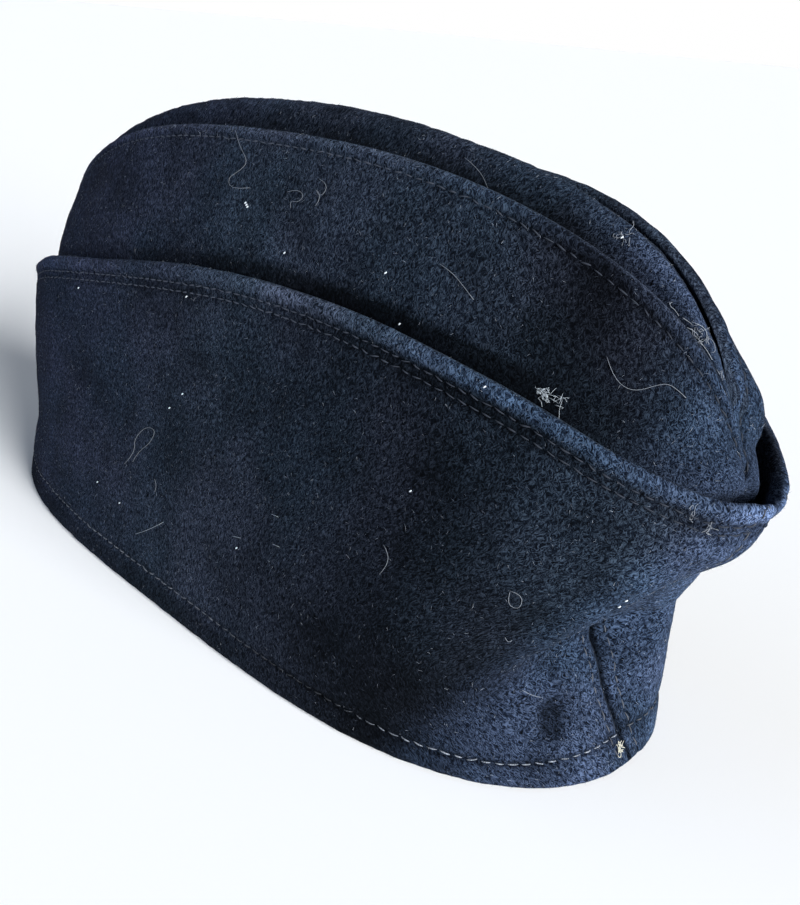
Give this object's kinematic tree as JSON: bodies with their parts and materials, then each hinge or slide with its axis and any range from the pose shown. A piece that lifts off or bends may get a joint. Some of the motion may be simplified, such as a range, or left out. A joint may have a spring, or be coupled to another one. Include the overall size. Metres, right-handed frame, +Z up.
{
  "type": "garrison cap",
  "caption": "Soft folding wool side cap, opened and resting on its rim, with arched side panels, a sunken top insert and a deep turned-up cuff.",
  "frame": {"origin": "on the resting surface, under the middle of the cap's length and width", "axes": "+X along the cap to the end whose cuff stands out as a point, +Y across it to the far side, +Z up"},
  "size_m": [0.2742, 0.1, 0.1321],
  "materials": {
    "crown_wool": "felted navy wool with a short nap and pale lint",
    "insert_wool": "felted navy wool, the nap a little rubbed up",
    "cuff_wool": "felted navy wool with a short nap and edge stitching"
  },
  "bodies": {
    "root": {"crown_near_side": "crown_wool", "crown_far_side": "crown_wool", "crown_top_insert": "insert_wool", "cuff_near_side": "cuff_wool", "cuff_far_side": "cuff_wool"}
  },
  "joints": []
}
